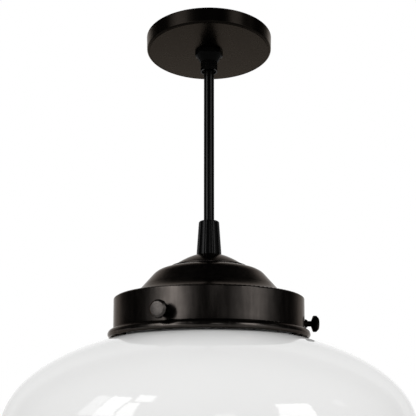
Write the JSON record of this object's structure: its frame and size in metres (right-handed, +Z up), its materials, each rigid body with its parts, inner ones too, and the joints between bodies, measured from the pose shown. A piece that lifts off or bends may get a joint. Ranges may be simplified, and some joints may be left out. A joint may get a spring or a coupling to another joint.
{
  "type": "glass pendant light",
  "caption": "Ceiling pendant: a round canopy, a short black cord and a spun metal fitter that holds an opal glass shade by its neck with thumb screws.",
  "frame": {"origin": "centre of the canopy rim, in the plane of the ceiling", "axes": "+Z up into the ceiling along the cord, -Y towards the viewer, +X to the right"},
  "size_m": [0.352, 0.352, 0.4785],
  "materials": {
    "bronze_black": "satin black-brown lacquer on spun steel",
    "screw_black": "blackened turned metal",
    "grip_black": "moulded nylon",
    "collet_black": "soft rubber",
    "cord_jacket": "smooth round jacket",
    "plated_steel": "zinc plated",
    "ground_green": "green dyed screw",
    "brass": "plain brass",
    "opal_glass": "glossy opal, white through",
    "porcelain": "glazed",
    "cap_aluminium": "drawn",
    "bulb_frosted": "frosted",
    "bulb_black": "black vitrite",
    "wire_black": "PVC",
    "wire_white": "PVC",
    "wire_green": "PVC",
    "connector_orange": "moulded"
  },
  "bodies": {
    "ceiling_mount": {"crossbar": "plated_steel", "crossbar_locknut": "plated_steel", "ceiling_nipple": "plated_steel", "ground_screw": "ground_green", "canopy": "bronze_black", "upper_grip_body": "grip_black", "upper_grip_cap": "grip_black", "upper_grip_collet": "collet_black", "cord_head": "cord_jacket", "line_lead_upper": "wire_black", "neutral_lead_upper": "wire_white", "ground_lead_upper": "wire_green", "wire_connectors": "connector_orange"},
    "swing_ring": {"cord_ring": "collet_black"},
    "pendant": {"cord": "cord_jacket", "lower_grip": "grip_black", "lower_grip_collet": "collet_black", "fitter_nipple": "plated_steel", "shade_fitter": "bronze_black", "fitter_washer": "plated_steel", "fitter_locknut": "plated_steel", "bracket_locknut": "plated_steel", "socket_bracket": "plated_steel", "bracket_screws": "plated_steel", "terminal_screws": "brass", "bracket_ground_screw": "ground_green", "socket_body": "porcelain", "socket_shell": "brass", "socket_contact": "brass", "line_lead_lower": "wire_black", "neutral_lead_lower": "wire_white", "ground_lead_lower": "wire_green", "thumb_screw_nuts": "screw_black", "glass_shade": "opal_glass"},
    "thumb_screw_1": {"thumb_screw_1": "screw_black"},
    "thumb_screw_2": {"thumb_screw_2": "screw_black"},
    "thumb_screw_3": {"thumb_screw_3": "screw_black"},
    "bulb": {"bulb_glass": "bulb_frosted", "bulb_cap": "cap_aluminium", "bulb_insulator": "bulb_black", "bulb_contact": "plated_steel"}
  },
  "joints": [
    {"name": "swing_fore_aft", "type": "hinge", "parent": "ceiling_mount", "child": "swing_ring", "pos_m": [0, 0, -0.0283], "axis": [1, 0, 0], "range_deg": [-15, 15]},
    {"name": "swing_sideways", "type": "hinge", "parent": "swing_ring", "child": "pendant", "pos_m": [0, 0, -0.0283], "axis": [0, 1, 0], "range_deg": [-15, 15]},
    {"name": "thumb_screw_1_out", "type": "slide", "parent": "pendant", "child": "thumb_screw_1", "axis": [0.9949, 0.1011, 0], "range_m": [0, 0.008]},
    {"name": "thumb_screw_2_out", "type": "slide", "parent": "pendant", "child": "thumb_screw_2", "axis": [-0.585, 0.8111, 0], "range_m": [0, 0.008]},
    {"name": "thumb_screw_3_out", "type": "slide", "parent": "pendant", "child": "thumb_screw_3", "axis": [-0.4099, -0.9121, 0], "range_m": [0, 0.008]},
    {"name": "bulb_out", "type": "slide", "parent": "pendant", "child": "bulb", "axis": [0, 0, -1], "range_m": [0, 0.026]}
  ]
}
